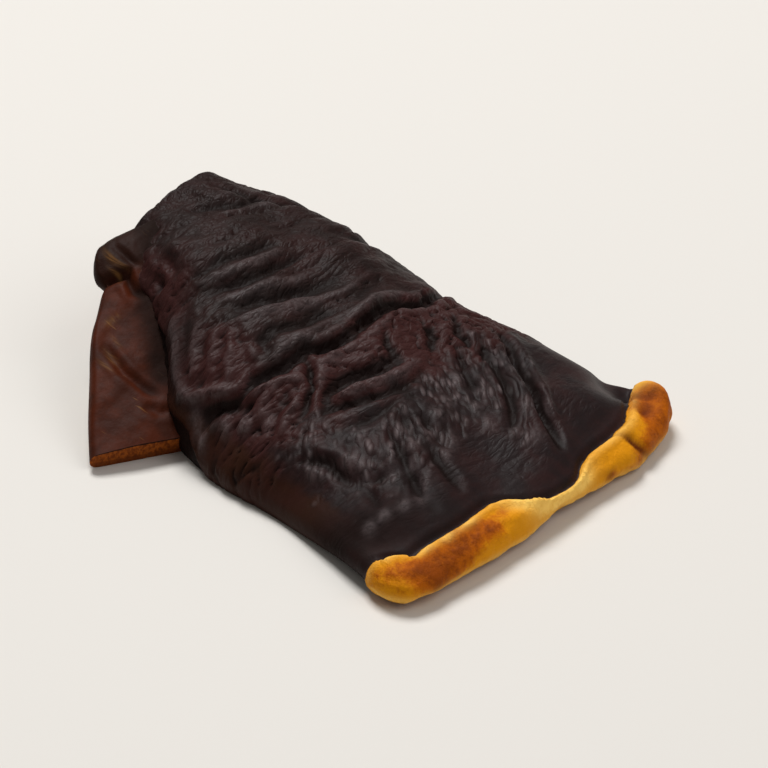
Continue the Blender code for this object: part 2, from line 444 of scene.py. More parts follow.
@dataclass(frozen=True)
class Cap:
    """The arched cap: wrinkled on top, rolled over at the growing lip and cut flat at the back.

    Tracks over the growth and across place its middle surface, thickness, rim and hem. Lumps and
    furrows lie on it as it is laid flat, or on the lip by the arc round it.
    """

    left_x: Track = over_growth(29, 20.5, 12.2, 9, 4.4, 0.4, -1.5, -1.6, -0.3)
    left_y: Track = over_growth(70, 55, 41, 26, 10, 0.8, -3.2, -6.2, -9)
    left_foot: Track = over_growth(0.5, 0, -1, -1, 0.3, 1.8, 2.4, 2.6, 2.6)
    right_x: Track = over_growth(54, 57, 59.5, 59.5, 61, 62.7, 63.5, 63.3, 60.6)
    right_y: Track = over_growth(70, 57, 43, 28, 13, 4.8, 0.6, -3.4, -6.6)
    right_foot: Track = over_growth(3, 1.5, 0, 0, 1, 2, 2.6, 2.6, 2.4)
    crest: Track = over_growth(17, 17, 13.9, 10.2, 7, 4.5, 3.4, 2.7, 2.5)
    sweep: Track = over_growth(0, -1, -2.5, -4, -5.3, -5.8, -5, -3.6, -2)
    left_roll: Track = over_growth(82, 82, 82, 80, 72, 55, 40, 25, 10)
    right_roll: Track = over_growth(76, 76, 74, 70, 60, 35, 25, 15, 10)
    roll_power: float = 2.6
    body: Track = over_growth(3.6, 3.6, 3.4, 3.1, 2.8, 2.6, 2.5, 2.5, 2.4)
    lip_radius: Track = Track(
        (-1, -0.8, -0.4, 0, 0.2, 0.6, 0.85, 1),
        (2.6, 3, 2.9, 2.2, 2.1, 2.9, 2.7, 2.1),
    )
    lip_neck: float = 0.06
    side_nose: float = 0.10
    # Where the dark crust ends above the lip, and where the lip ends beneath, by the arc round it
    rim: Track = Track(
        (-1, -0.98, -0.95, -0.92, -0.88, -0.835, -0.8, -0.75, -0.66, -0.56, -0.45, -0.37, -0.28, -0.17,
         -0.07, 0.08, 0.14, 0.23, 0.35, 0.5, 0.6, 0.7, 0.78, 0.88, 0.95, 1),
        (2.6, 3.7, 4.8, 5.7, 6, 5.5, 4.9, 5.1, 5.4, 5.5, 6, 6.5, 6.5, 4.4, 2.9, 2.4, 2.5, 3.7, 4.1, 4, 4,
         4.8, 5.4, 5.6, 4.6, 3.2),
    )
    hem: Track = Track(
        (-1, -0.97, -0.9, -0.5, 0, 0.5, 0.9, 0.97, 1),
        (-2.8, -4.2, -5.6, -5, -4.6, -5.2, -5.6, -4.6, -3.4),
    )
    lip_lumps: tuple[Lump, ...] = lumps_from(
        (-26.5, 1.8, 3.2, 3, 0.4), (-23.4, 4.4, 1.4, 2, -0.35), (-16, 2, 5, 1.8, 0.35),
        (-6.5, 2.6, 3, 1.4, 0.25), (0.5, -0.6, 5, 2.2, -0.75), (9.5, 3.2, 1.6, 1.6, 0.35),
        (15.5, 2, 4, 2.4, 0.5), (17.6, 1.3, 3.4, 0.6, -0.85, -0.62), (22.4, 3.5, 1.4, 0.9, -0.8, -0.3),
        (24.2, 4.4, 1.8, 0.6, -0.4, -0.75), (27.2, 3.8, 2.2, 1.9, 1.5), (29.5, -1, 2.2, 3.2, -0.9),
        (19, -1, 6.5, 2.4, 1.1), (-26.6, -3.6, 3, 1.8, -0.8), (-29.9, -2.4, 0.8, 1.5, 0.5),
    )
    burnt: tuple[Lump, ...] = lumps_from(
        (-25.6, 1.5, 3.6, 2.4, 1.3), (-22.2, 1.4, 3.4, 2.2, 0.5), (-19.8, 2.6, 3.4, 2, 0.5),
        (-16.2, 3.4, 3.8, 2.1, 0.75), (-12.6, 3.7, 2.6, 1.9, 0.6), (-9.2, 4.7, 1.6, 0.8, 0.5),
        (11, -0.1, 2.4, 1.2, 0.4), (18, -0.4, 3.6, 1.6, 0.6), (21.5, 1.4, 3, 2.2, 0.6),
        (25.6, 1.2, 3.2, 2.4, 0.7), (22.4, 4, 1.8, 1.2, 0.6), (25.3, 3.9, 2.4, 0.9, 0.9, -0.75),
        (28.6, 2.2, 1.8, 1.6, 0.5),
    )
    lip_stains: tuple[Lump, ...] = lumps_from(
        (10.9, 0.3, 0.9, 0.7, 0.6), (17.4, 1.4, 3.4, 0.42, 1.3, -0.62), (22.5, 3.4, 1.2, 0.6, 0.95, -0.2),
        (24.2, 4.7, 1.6, 0.5, 0.55, -0.75), (-26.6, 2.1, 1, 0.5, 0.4), (-21.8, 2.4, 1.5, 0.5, 0.3, 0.4),
        (-18.6, 2.8, 0.9, 0.6, 0.45), (-13.2, 3.1, 1, 0.6, 0.4), (-14.6, 4.4, 0.8, 0.4, 0.3),
    )
    # Pale patches on the lip, partly its own cream and partly painted highlights on its bulges, waist and
    # knob
    lip_cream_and_highlights: tuple[Lump, ...] = lumps_from(
        (0.6, 1.4, 4.8, 1.6, 1.3), (5.8, 1.6, 1.8, 1.2, 0.6, 0.5), (-5.6, 3.6, 2.8, 1.1, 0.9, -0.7),
        (-26.2, 5.6, 1.2, 0.5, 0.6), (-22.2, 4.9, 1.3, 0.6, 0.7), (-18.6, 5, 0.9, 0.6, 0.6),
        (-14.4, 5.4, 1.4, 0.5, 0.6, 0.1), (14.5, 3.7, 4, 0.5, 0.4), (26.9, 4.5, 1.5, 0.9, 0.4, -0.5),
    )
    streaked: tuple[Lump, ...] = lumps_from(
        (-19, 52, 4, 5, 1), (-13.5, 58.5, 6.5, 4.6, 1), (-3.5, 55.5, 5, 3.6, 1), (4, 55, 5.5, 5, 1),
        (12, 54, 4, 5.5, 0.9), (-20.5, 66.2, 5, 1.8, 0.32), (2.5, 65, 3, 2.5, 0.55),
        (9, 62.5, 2.6, 3, 0.7),
    )
    maroon: tuple[Lump, ...] = lumps_from(
        (-18.5, 13, 4.5, 6.5, 0.9), (-19, 30.5, 5, 5.5, 0.9), (-21, 41, 4.5, 6, 0.7),
        (9, 51.5, 8, 2.6, 0.6),
    )
    # Patches of painted shade on the crust beside the lip's left end
    shaded: tuple[Lump, ...] = lumps_from((-22, 67.5, 7.5, 4.5, 0.95), (-27.5, 62, 4.5, 6, 0.6))
    # Zone borders along the cap, and those of the left wall and of the band behind the rim
    middle_from: tuple[float, float] = (36.5, 38.5)
    front_from: tuple[float, float] = (47.5, 54.5)
    facet_from: tuple[float, float] = (47.5, 57.5)
    wall_from: tuple[float, float] = (23.6, 25.4)
    band_from: tuple[float, float] = (-5.0, -3.2)
    # Long waves of the top, each with its height, its turns by x and by y, and its start
    waves: tuple[tuple[float, ...], ...] = (
        (0.35, 0.21, 0.17, 0.6), (0.30, -0.16, 0.31, 2.1), (0.22, 0.37, 0.23, 4.0), (0.18, 0.52, -0.40, 1.3),
    )
    top_lumps: tuple[Lump, ...] = lumps_from(
        (-20, 8.4, 1.3, 1.6, 0.8), (-16.6, 6.2, 1.8, 1.3, 0.4), (-13.2, 10.4, 1.3, 1.1, 0.6),
        (-17.2, 9, 1.2, 1, 0.5), (-19.4, 14, 1.3, 0.9, 0.5), (-15.5, 12.2, 1.1, 1.6, -1.1),
        (-18.3, 11.9, 1, 1.2, -1.1, 0.4), (27.5, 68.4, 5, 2.8, -1.8), (27.5, 71.6, 3.6, 1.6, -2.8),
        (-2, 38, 1.2, 1, 0.5, 0.4),
    )
    furrows: tuple[Furrow, ...] = furrows_from(
        (0.5, 0.8, (-15, 17.6), (-9.5, 18.4), (-6.5, 19), (-3, 19.6), (2.5, 20.2)),
        (0.6, 0.9, (-16, 20.9), (-11.5, 22.2), (-8, 22.5), (-2, 23.1), (5, 24.2)),
        (0.6, 1.1, (-15.5, 25.8), (-10.5, 26.4), (-5.5, 27.7), (-1.5, 29.2), (7, 30.5)),
        (0.65, 0.8, (-14.8, 35), (-14, 33), (-11.9, 32.2), (-9, 32.9), (-5.7, 33.3), (0, 33.7)),
        (0.4, 0.9, (-1, 33.5), (5, 34.8), (12, 34)),
        (0.9, 0.85, (-20.5, 35.4), (-17.4, 36.4), (-14.8, 37), (-9.9, 37.1), (-7.6, 38.3), (-3, 39)),
        (1.1, 0.85, (-8.5, 38.6), (1.5, 38.8), (8.5, 38.9), (14, 39.7), (23, 38.4)),
        (0.9, 1.1, (-15.2, 46), (-12.5, 44.7), (-8.4, 44.4), (-5.2, 45.1), (-0.5, 45)),
        (0.6, 0.75, (-10.6, 37.4), (-12, 40.4), (-13.9, 42.7), (-18.2, 45.6)),
        (0.7, 0.9, (-16, 46.6), (-10.8, 48.3), (-8.2, 49.4), (-2.5, 50.3)),
        (0.4, 0.8, (-16.6, 50.2), (-13, 51.7), (-5, 52), (-1.5, 53.2)),
        (0.5, 0.7, (2.8, 41.2), (0.3, 43.2), (-0.6, 45.3), (-1.8, 47)),
        (0.5, 0.7, (10.2, 44), (8.4, 45.8), (5.5, 47.9)), (0.45, 0.7, (15.8, 44.2), (12, 47.5), (11, 51)),
        (0.6, 0.9, (-26.5, 33.2), (-23.6, 33.6), (-21.8, 35.4), (-20, 38.8)),
        (1.1, 0.85, (18.4, 51), (16.9, 54), (11.8, 60.3), (9.1, 64), (6, 70.6)),
        (0.7, 0.75, (13, 50.6), (11.1, 55), (6.4, 60), (1.6, 64.5)),
        (0.45, 0.7, (10.4, 48.6), (6.1, 52.9), (2.6, 58)), (0.35, 0.8, (-8.4, 53.6), (-11, 58.4)),
        (0.6, 0.8, (-12.2, 55), (-13.9, 59.7), (-15, 63.1), (-17, 69.2)),
        (0.4, 0.75, (-6.6, 55.6), (-8.3, 61.4)), (0.5, 0.8, (-9.6, 59), (-10.3, 62.3), (-11.5, 68.4)),
        (0.5, 0.85, (-22, 50), (-20.4, 53.7), (-20.7, 58)), (0.35, 0.75, (-19.2, 59), (-14.8, 60.3)),
        (0.4, 0.8, (-20, 59.2), (-21.8, 64.8)), (0.5, 1.1, (7, 3.5), (13, 11.5), (21, 16.5)),
        (0.5, 1, (-5, 5.6), (5, 9.2), (15, 11)), (0.5, 1, (13, 23.6), (20, 26), (28, 27)),
    )
    ridges: tuple[Furrow, ...] = furrows_from(
        (0.45, 1.1, (-14.2, 28.9), (-9.6, 29.2), (-6.3, 30.2), (-0.5, 30.9)),
        (0.4, 0.9, (-19.4, 17.6), (-20.7, 20.9), (-22.4, 25), (-23.8, 30.5)),
        (0.45, 0.75, (-18, 23.4), (-19.9, 26), (-20.8, 28.2), (-22.2, 29.8)),
        (0.5, 0.75, (-16.8, 26.7), (-18.9, 29.7), (-21, 32.2)),
        (0.45, 0.75, (-15.6, 29), (-17.4, 31.3), (-19.6, 33.7)),
        (0.5, 0.75, (-24.2, 28.3), (-22.9, 31.4), (-21.6, 32.6), (-20.6, 34.5), (-19.4, 35.3), (-17.6, 36)),
        (0.45, 0.8, (-20.9, 37.4), (-18.8, 38.3), (-16.8, 38.8), (-14.1, 40.3), (-12.4, 42)),
        (0.4, 0.8, (-6, 40.2), (-10.6, 40.9), (-12.9, 42.9), (-15, 45.6)),
        (0.5, 0.85, (-13.3, 46.2), (-9.7, 46.7), (-6.3, 47.4), (-3.4, 47.8), (2.5, 48.2)),
        (0.35, 0.8, (-23.2, 39.2), (-20.6, 39.8), (-17.4, 40.3)),
        (0.5, 0.8, (-21.4, 45.4), (-18.1, 43.4), (-16, 42.6)),
        (0.35, 0.8, (12, 59.6), (11.5, 62.2), (9.2, 66.2)),
    )
    # Short strokes: their places, and the half sizes, rise and tilt of each
    strokes: tuple[tuple[float, float], ...] = (
        (-14.8, 58.2), (-18.8, 55.3), (-22.4, 53.2), (-16.6, 66.8), (-19.2, 66.6), (-21.8, 66.4),
        (-24.4, 66.8), (-24.8, 32.8), (-26.1, 34.6), (-23.7, 37.2), (-22.3, 39.5), (-20.8, 42),
        (9.6, 64.8), (4.2, 67), (-11.5, 58.7), (-10.8, 55.9), (-9.1, 62.4), (-8.4, 58.2), (-5.1, 56.2),
        (-0.7, 55.1), (0.4, 61.2), (1.4, 58.1), (4, 52.9), (4.4, 56.8), (-6.4, 60.8), (-14.2, 61.4),
        (-14.5, 64.5), (-15.2, 52.9), (-18.2, 56.4), (-16.9, 60.8), (2.4, 64.4), (7.2, 62.6),
    )
    stroke: tuple[float, ...] = (0.75, 1.3, 1.0, 0.75)
    long_folds: Folds = Folds(2.9, 0.9, (13.0, 7.0), 5.0, (8.0, 4.0), 7.0, (-0.5, 0.35))
    fine_folds: Folds = Folds(1.25, 1.2, (7.0, 4.0), 9.0, (5.0, 2.5), 13.0, (-0.3, 0.5))
    side_folds: Folds = Folds(2.1, 0.5, (5.0, 9.0), 31.0)
    streaks: Folds = Folds(2.6, 0.9, (5.0, 9.0), 43.0, (3.0, 4.0), 45.0, (-0.5, 0.3))
    # The line past which the top tucks under at the left, and how deep
    left_border: Track = Track(
        (11, 15, 18.5, 22.6, 26, 31.5, 34, 39),
        (-20.4, -21.8, -22, -23.8, -25.6, -25.9, -27.6, -31.5),
    )
    tuck: float = 0.7
    # How much closer the rows lie at the lip, and the faces each way
    crowding: float = 0.35
    columns: int = 160
    rows: int = 200
    layers: int = 24

    def bend(self, across: Array, roll: Array) -> tuple[Array, Array]:
        """A section's run and fall on one side of its crest: a strip whose angle grows from the crest
        as roll * |across| ** power, measured by its mean direction.

        Args:
            across: Places across, below zero at the left.
            roll: The strip's angle at its end, in radians.

        Returns:
            The x and the z, before they are scaled.
        """
        steps = (np.arange(16) + 0.5) / 16
        angle = roll[..., None] * (np.abs(across)[..., None] * steps) ** self.roll_power
        return across * np.cos(angle).mean(-1), -np.abs(across) * np.sin(angle).mean(-1)

    def middle(self, across: Array, growth: Array) -> Array:
        """Points of the middle surface: each section is a bent strip, scaled to reach from the left
        foot to the right foot and up to the crest, and swept towards the lip in its middle.

        Args:
            across: Places across, from -1 at the left to 1 at the right.
            growth: Places along, from 0 at the back cut to 1 at the lip.

        Returns:
            The points, with the coordinates on the last axis.
        """
        left_roll, right_roll = np.radians(self.left_roll(growth)), np.radians(self.right_roll(growth))
        x, z = self.bend(across, np.where(across < 0, left_roll, right_roll))
        left_x, left_z = self.bend(-np.ones_like(across), left_roll)
        right_x, right_z = self.bend(np.ones_like(across), right_roll)
        k = (x - left_x) / (right_x - left_x)
        k_crest = -left_x / (right_x - left_x)
        arch = (z - left_z - (right_z - left_z) * k) / -(left_z + (right_z - left_z) * k_crest)
        left_foot, right_foot = self.left_foot(growth), self.right_foot(growth)
        edge_x, edge_y = self.left_x(growth), self.left_y(growth)
        rise = self.crest(growth) - (left_foot + right_foot) / 2
        spot_x = edge_x + (self.right_x(growth) - edge_x) * k
        spot_y = edge_y + (self.right_y(growth) - edge_y) * k + self.sweep(growth) * 4 * k * (1 - k)
        return np.stack([spot_x, spot_y, left_foot + (right_foot - left_foot) * k + rise * arch], axis=-1)

    def half_thickness(self, across: Array, growth: Array) -> Array:
        """Half the thickness: the body's own, and from the neck on the lip's radius."""
        body, lip = self.body(growth), self.lip_radius(across)
        return body + (lip - body) * smooth(growth, 1 - self.lip_neck, 1.0)

    def lip_nose(self, across: Array) -> Array:
        """The share of the length that the rounding of the lip takes."""
        return self.lip_radius(across) / CAP_LENGTH

    def lip_arc(self, across: Array, growth: Array, level: Array) -> Array:
        """How far each point is round the lip from its foremost line, in millimetres: the arc of
        the rounding and then the flat part behind it, above zero on top and below zero beneath.

        Args:
            across: Places across, from -1 to 1.
            growth: Places along, from 0 to 1.
            level: Places through the thickness, from -1 to 1.

        Returns:
            The distances.
        """
        radius = self.lip_radius(across)
        behind = np.maximum(CAP_LENGTH * (1 - growth) - radius, 0.0)
        return np.where(level < 0, -1, 1) * (radius * np.arcsin(np.clip(np.abs(level), 0.0, 1.0)) + behind)

    def zones(self, across: Array, growth: Array, level: Array) -> dict[Zone, Array]:
        """How far each point belongs to each zone, with borders that wander by noise: bands along
        the growth, and patches from lumps.

        Args:
            across: Places across, from -1 to 1.
            growth: Places along, from 0 to 1.
            level: Places through the thickness, from -1 below to 1 on top.

        Returns:
            A share, mostly from 0 to 1, for each zone.
        """
        x, y = across * HALF_WIDTH, growth * CAP_LENGTH
        wander = layered(x / 3.0, y / 3.0, 3.0)
        arc = self.lip_arc(across, growth, level)
        below_rim = self.rim(across) - arc + 0.25 * wander
        lip = smooth(below_rim, -0.8, 0.8) * smooth(arc - self.hem(across) + 0.8 * wander, -0.5, 0.5)
        facet = smooth(x + 0.38 * (y - 50.0) - 23.0 + 0.8 * wander, 0.0, 3.0)
        facet *= smooth(y + 3.5 * wander, *self.facet_from)
        band = smooth(below_rim + 1.2 * wander, *self.band_from)
        wall = smooth(-x + 0.8 * wander, *self.wall_from) * (1 - 0.8 * smooth(y + wander, 58.0, 66.0))
        front = smooth(y + 3.0 * wander - 0.10 * x, *self.front_from)
        middle = smooth(y + 1.0 * wander - 0.05 * x, *self.middle_from) * (1 - front)
        maroon = smooth(added(self.maroon, x, y) + 0.2 * wander, 0.1, 0.8)
        streaked = smooth(added(self.streaked, x, y) + 0.25 * wander, 0.15, 0.55)
        return {
            Zone.LIP: lip,
            Zone.UNDERSIDE: smooth(-level + 0.12 * wander, PORES_FROM, PORES_TO) * (1 - lip),
            Zone.FRONT: front,
            Zone.MIDDLE: np.clip(np.maximum(middle, maroon), 0.0, 1.0),
            Zone.SMOOTH: np.clip(np.maximum(facet, band), 0.0, 1.0),
            Zone.WALL: wall,
            Zone.LEVEL: level * 0.5 + 0.5,
            Zone.STREAKS: streaked * np.clip(level, 0.0, 1.0) * (1 - lip),
            Zone.BURNT: np.clip(added(self.burnt, x, arc), 0.0, 1.4),
            # Where shade is painted on the crust
            Zone.SHADE: np.clip(added(self.shaded, x, y), 0.0, 1.0),
            Zone.STAIN: np.clip(added(self.lip_stains, x, arc), 0.0, 1.0),
        }

    def relief(
        self, across: Array, growth: Array, arc: Array, zones: dict[Zone, Array]
    ) -> tuple[Array, Array, Array]:
        """Height of the top's skin over the plain arch.

        Long waves and lumps, then the furrows and ridges on warped places, then trains of folds that
        noise shifts and breaks up: across the cap at the back, along its left shoulder, crazed and
        cracked in the middle, and turned streaks and short strokes at the front. A groove follows the
        rim, and the skin is tucked under past the left border, where the small relief is also lowered
        to paint a band of shadow.

        Args:
            across: Places across, from -1 to 1.
            growth: Places along, from 0 to 1.
            arc: Distances round the lip from its foremost line.
            zones: The points' shares of each zone.

        Returns:
            Heights in millimetres, the part of them that is furrows and folds, lowered past the left
            border for the painted shadow there, and the share of pale dust and painted sheen on the small
            ridges and of painted highlights on the strokes.
        """
        x, y = across * HALF_WIDTH, growth * CAP_LENGTH
        warp_x = x + 0.6 * noise(x / 9.0, y / 9.0, 11.0)
        warp_y = y + 0.7 * noise(x / 11.0, y / 8.0, 23.0) + 0.15 * noise(x / 2.6, y / 2.6, 29.0)
        swell = sum(high * np.sin(by_x * x + by_y * y + start) for high, by_x, by_y, start in self.waves)
        swell += added(self.top_lumps, x, y)
        creases = 1.35 * (added(self.furrows, warp_x, warp_y) - added(self.ridges, warp_x, warp_y))
        strokes = added(lumps_from(*(place + self.stroke for place in self.strokes)), x, y)
        bare, middle = 1 - zones[Zone.SMOOTH], zones[Zone.MIDDLE]
        front = zones[Zone.FRONT] * bare * (1 - zones[Zone.WALL])
        back = (1 - zones[Zone.FRONT]) * (1 - middle)
        long_folds = self.long_folds.height(warp_y - 0.16 * warp_x, x, y)
        fine_folds = self.fine_folds.height(warp_y - 0.20 * warp_x, x, y)
        side_folds = self.side_folds.height(0.87 * warp_x + 0.5 * warp_y, x, y)
        side_folds *= np.exp(-(((x + 18.5) / 5.0) ** 4) - ((y - 33.0) / 11.0) ** 4)
        cracks = valleys(noise((warp_x + warp_y) / 4.0, (warp_y - warp_x) / 2.6, 37.0), 0.09)
        cracks *= smooth(x - 0.4 * (y - 44.0), 3.0, 9.0) * (1 - 0.7 * smooth(x, 16.0, 22.0))
        crazed = valleys(noise(warp_x / 4.4, warp_y / 2.2, 41.0), 0.08) * (1 - 0.6 * smooth(x, 14.0, 22.0))
        beside, onward = 0.73 * warp_x + 0.68 * warp_y, 0.73 * warp_y - 0.68 * warp_x
        streaks = 0.32 * self.streaks.height(beside, beside, onward) + 0.16 * noise(x / 2.2, y / 2.2, 47.0)
        wrinkles = back * (0.48 * long_folds + 0.2 * fine_folds)
        wrinkles += middle * (0.34 * long_folds + 0.24 * fine_folds - 0.42 * crazed - 0.5 * cracks)
        wrinkles += (back + middle) * 0.26 * side_folds
        wrinkles += front * (zones[Zone.STREAKS] * streaks + 0.06 * fine_folds) + 0.3 * strokes
        wrinkles += 0.03 * bare * layered(x / 0.9, y / 0.9, 53.0, 2)
        below_rim = self.rim(across) - arc
        groove = 0.75 * bell(below_rim, -0.25, 0.55) + 0.25 * bell(below_rim, -1.6, 1.3)
        tucked = smooth(self.left_border(y) - x, -0.1, 0.9)
        end = np.clip((CAP_LENGTH - y) / 6.0, 0.0, 1.0)
        height = (swell + creases + wrinkles) * end - groove - self.tuck * tucked
        # The small relief that the finish reads, lowered past the left border to paint a band of shadow
        detail = (creases + wrinkles) * end - 1.2 * tucked
        # Pale dust and painted sheen on the small ridges, and painted highlights on the strokes
        bloom = smooth(creases + wrinkles, 0.08, 0.5) * (0.5 * back + 0.4 * middle) + 0.6 * strokes
        return height, detail, np.clip(bloom, 0.0, 1.0)

    def lip_relief(self, across: Array, arc: Array) -> Array:
        """Height of the lip's skin: a ridge below the rim that fades at the side faces, the lumps
        and dents, and small unevenness by noise.

        Args:
            across: Places across, from -1 to 1.
            arc: Distances round the lip from its foremost line.

        Returns:
            Heights in millimetres.
        """
        x, below_rim = across * HALF_WIDTH, self.rim(across) - arc
        ridge = 0.40 * bell(below_rim, 0.6, 0.5) - 0.10 * bell(below_rim, 1.9, 0.8)
        ridge *= 1 - 0.9 * smooth(np.abs(across), 0.94, 0.99)
        uneven = 0.16 * layered(x / 3.0, arc / 2.4, 61.0) + 0.05 * layered(x / 0.9, arc / 0.9, 67.0)
        return ridge + added(self.lip_lumps, x, arc) + uneven

    def lip_pale_and_highlights(self, across: Array, arc: Array) -> Array:
        """How pale the lip is: a painted highlight along the rim, painted bounce light from the floor just
        beneath the foremost line, and its patches of cream and painted highlights.
        """
        pale = 0.3 * bell(self.rim(across) - arc, 0.5, 0.45) + 0.7 * bell(arc, -1.0, 0.7)
        return pale + added(self.lip_cream_and_highlights, across * HALF_WIDTH, arc)

    def form(self) -> Form:
        """The cap's skin: a block's points moved to the middle surface and out by half the thickness
        and the relief, the front corners' crust rounded off, then the lip and the pores moved out
        along the skin's own normals by their small lumps.

        Returns:
            The closed skin with its zones.
        """
        block, quads, back = block_skin(self.columns, self.rows, self.layers)
        share = (block[:, 1] + 1) / 2
        block[:, 1] = 2 * share * (1 + self.crowding * (1 - share)) - 1
        across, growth, level = rounded(block, self.side_nose, self.lip_nose)
        x, y = across * HALF_WIDTH, growth * CAP_LENGTH
        values = self.zones(across, growth, level)
        arc = self.lip_arc(across, growth, level)
        relief, detail, bloom = self.relief(across, growth, arc, values)
        top = np.clip(level, 0.0, 1.0)
        height = self.half_thickness(across, growth) * level + relief * top
        points = self.middle(across, growth) + normals_of(self.middle, across, growth) * height[:, None]
        points = relaxed(points, quads, smooth(np.abs(x), 26.0, 28.5) * smooth(y, 70.0, 72.5), 12)
        lip = values[Zone.LIP]
        # The small relief, by which the crust paints shade in its hollows, and the pale share: dust and
        # painted sheen on the crust, cream and painted highlights on the lip
        values[Zone.HEIGHT] = np.clip(0.5 + detail * top / 2.0, 0.0, 1.0)
        values[Zone.BLOOM] = np.clip(bloom * top * (1 - lip) + self.lip_pale_and_highlights(across, arc) * lip, 0.0, 1.0)
        skin = Form(points, quads, np.stack([x / CAP_LENGTH + 0.5, y / CAP_LENGTH], axis=-1), values, back)
        pores = 0.25 * layered(x / 9.0, y / 9.0, 71.0) * values[Zone.UNDERSIDE]
        skin.points = points + skin.normals() * (self.lip_relief(across, arc) * lip + pores)[:, None]
        return skin


@dataclass(frozen=True)
class SideLobe:
    """The side lobe that is folded down at the cap's left, cut flat at its front."""

    front_outer: tuple[float, ...] = (0.6, 49.0, 1.5)
    front_inner: tuple[float, ...] = (17.0, 39.7, 1.5)
    top_inner: tuple[float, ...] = (38.0, 68.0, 19.2)
    top_outer: tuple[float, ...] = (26.7, 72.0, 15.8)
    outward: tuple[float, ...] = (-0.92, 0.38, 0.0)
    half_thickness: float = 1.7
    border: Track = Track(
        (0, 0.1, 0.2, 0.4, 0.5, 0.6, 0.65, 0.7, 0.76, 0.8, 0.85, 0.92, 0.96, 1, 1.1),
        (1.1, 1.3, 1.4, 1.3, 1.3, 1, 0.5, 0.1, -0.4, -0.9, 0.5, 0.9, 0.5, -0.8, -4),
    )
    creases: tuple[Furrow, ...] = furrows_from(
        (0.9, 0.8, (-10, 33.8), (-5.7, 33.3), (-3.6, 32.7), (-2, 29.4), (0.5, 27.5)),
        (0.6, 0.7, (-7.6, 21), (-6.5, 19.7), (-4.2, 14.3), (-0.9, 10), (1, 7.5)),
        (0.5, 0.8, (-1.5, 7), (0.5, 5), (2.5, 5.2)), (0.4, 0.7, (-5, 39.5), (-2.5, 36), (-1.8, 33)),
    )
    scratches: tuple[Lump, ...] = lumps_from(
        (-5.2, 36.5, 2.4, 0.45, 1, -0.98), (-5.8, 33.8, 1.6, 0.4, 0.9, -1.2),
        (-6, 18, 1.8, 0.4, 1, -1.06), (-6.9, 16.4, 1.8, 0.3, 0.7, -1), (-5, 20.6, 1.5, 0.3, 0.5, -1.1),
        (-5.8, 25.2, 1.2, 0.8, 0.45, 0.3),
    )
    # The lobe laid flat, in millimetres, the share of it that is rounded, and how far it reaches in
    width_mm: float = 9.5
    length_mm: float = 42.0
    nose: float = 0.14
    reach: float = 0.86
    columns: int = 50
    rows: int = 80
    layers: int = 8

    def middle(self, across: Array, up: Array) -> Array:
        """Points of the middle surface: a leaf between four corners, with a swollen outer border
        that has one notch.

        Args:
            across: Places across, from -1 at the outer border to 1 inside the cap.
            up: Places from 0 at the cut front edge to 1 at the top.

        Returns:
            The points, with the coordinates on the last axis.
        """
        k, h = (across[..., None] + 1) / 2, up[..., None]
        front = np.array(self.front_outer) * (1 - k) + np.array(self.front_inner) * k
        top = np.array(self.top_outer) * (1 - k) + np.array(self.top_inner) * k
        return front + (top - front) * h + np.array(self.outward) * (self.border(h) * (1 - k))

    def relief(self, across: Array, up: Array) -> Array:
        """Height of the creases, the long waves, the two swellings and the fine wrinkles.

        Args:
            across: Places across, from -1 to 1.
            up: Places from 0 to 1.

        Returns:
            Heights in millimetres.
        """
        x, y = across * self.width_mm, up * self.length_mm
        waves = 0.2 * np.sin(2.6 * across + 9.0 * up) + 0.15 * np.sin(17.0 * up - 4.0 * across)
        knuckle = 0.8 * bell(up, 0.90, 0.08) * bell(across, -0.45, 0.5)
        lower = 0.35 * bell(up, 0.14, 0.14) * bell(across, -0.45, 0.45)
        return added(self.creases, x, y) + waves + knuckle + lower + 0.10 * layered(x / 3.2, y / 3.0, 81.0)

    def form(self) -> Form:
        """The lobe's skin, made as the cap's is, with its outside at the low level and painted shade
        in the hollows and towards the cap.

        Returns:
            The closed skin with its zones.
        """
        block, quads, back = block_skin(self.columns, self.rows, self.layers)
        across, up, level = rounded(block, self.nose, lambda a: np.full_like(a, self.nose / 2))
        across = (across + 1) * self.reach - 1
        x, y = across * self.width_mm, up * self.length_mm
        relief = self.relief(across, up)
        height = self.half_thickness * (1.15 - 0.3 * across**2) * level - relief * np.clip(-level, 0.0, 1.0)
        points = self.middle(across, up) + normals_of(self.middle, across, up) * height[:, None]
        # Painted shade towards the cap, where the lobe meets it
        shade = 0.4 * smooth(across, -0.35, 0.2) * smooth(up, 0.04, 0.3)
        values = {
            Zone.LOBE: np.ones_like(level),
            Zone.UNDERSIDE: smooth(level, PORES_FROM, PORES_TO),
            Zone.HEIGHT: np.clip(0.5 + relief / 3.0 - shade, 0.0, 1.0),
            Zone.LEVEL: 0.5 - level * 0.5,
            Zone.BLOOM: np.clip(added(self.scratches, x, y), 0.0, 1.0),
            Zone.WALL: smooth(up, 0.76, 0.84),
        }
        return Form(points, quads, np.stack([x / CAP_LENGTH + 1.5, y / CAP_LENGTH], axis=-1), values, back)


def operator(operation: str, turned: bool = False) -> Callable[[Wire, Wire | float], Wire]:
    """A wire's operator, which puts one Math node on the wire and the other value.

    Args:
        operation: The Math node's operation.
        turned: Whether the other value comes first, as in a reflected form.

    Returns:
        The method.
    """

    def apply(self: Wire, other: Wire | float) -> Wire:
        """The operation on both values."""
        return self.math(operation, other, self) if turned else self.math(operation, self, other)

    return apply


